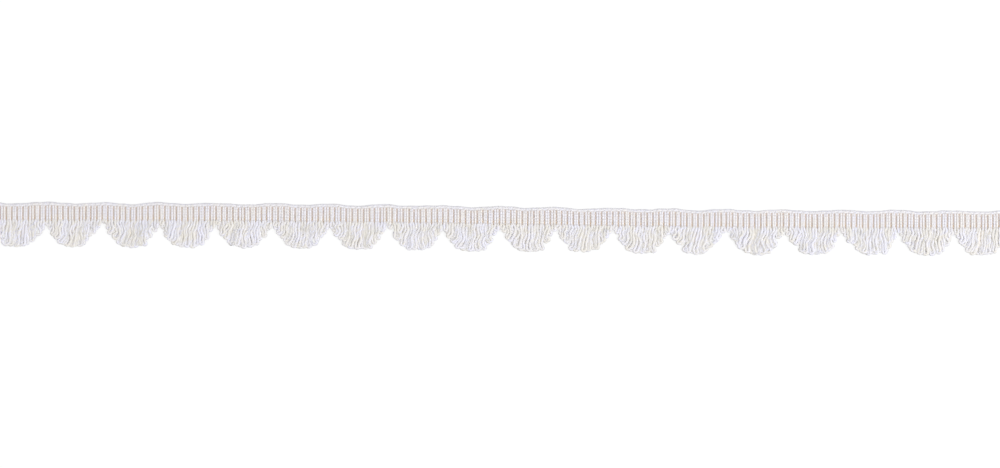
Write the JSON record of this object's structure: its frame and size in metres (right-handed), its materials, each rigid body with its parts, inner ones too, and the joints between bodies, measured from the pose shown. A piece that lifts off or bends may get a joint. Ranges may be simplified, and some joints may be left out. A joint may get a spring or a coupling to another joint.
{
  "type": "fan edge trim",
  "caption": "Cut length of woven trim, laid flat: a ribbed heading with a plain selvedge above and scalloped fans of looped yarn fringe below.",
  "frame": {"origin": "middle of the heading's flat underside: halfway along the cut length and halfway across the heading", "axes": "+X along the trim, left to right as seen from its face; +Y across it towards the plain selvedge; +Z out of its face"},
  "size_m": [0.612, 0.0317, 0.002],
  "materials": {
    "heading_weave": "matte ribbed weave of paired ivory yarns over a tan ground",
    "fringe_yarn": "soft matte twisted ivory yarn with a faint sheen"
  },
  "bodies": {
    "root": {"heading": "heading_weave", "fan_01": "fringe_yarn", "fan_02": "fringe_yarn", "fan_03": "fringe_yarn", "fan_04": "fringe_yarn", "fan_05": "fringe_yarn", "fan_06": "fringe_yarn", "fan_07": "fringe_yarn", "fan_08": "fringe_yarn", "fan_09": "fringe_yarn", "fan_10": "fringe_yarn", "fan_11": "fringe_yarn", "fan_12": "fringe_yarn", "fan_13": "fringe_yarn", "fan_14": "fringe_yarn", "fan_15": "fringe_yarn", "fan_16": "fringe_yarn", "fan_17": "fringe_yarn", "fan_18": "fringe_yarn"}
  },
  "joints": []
}
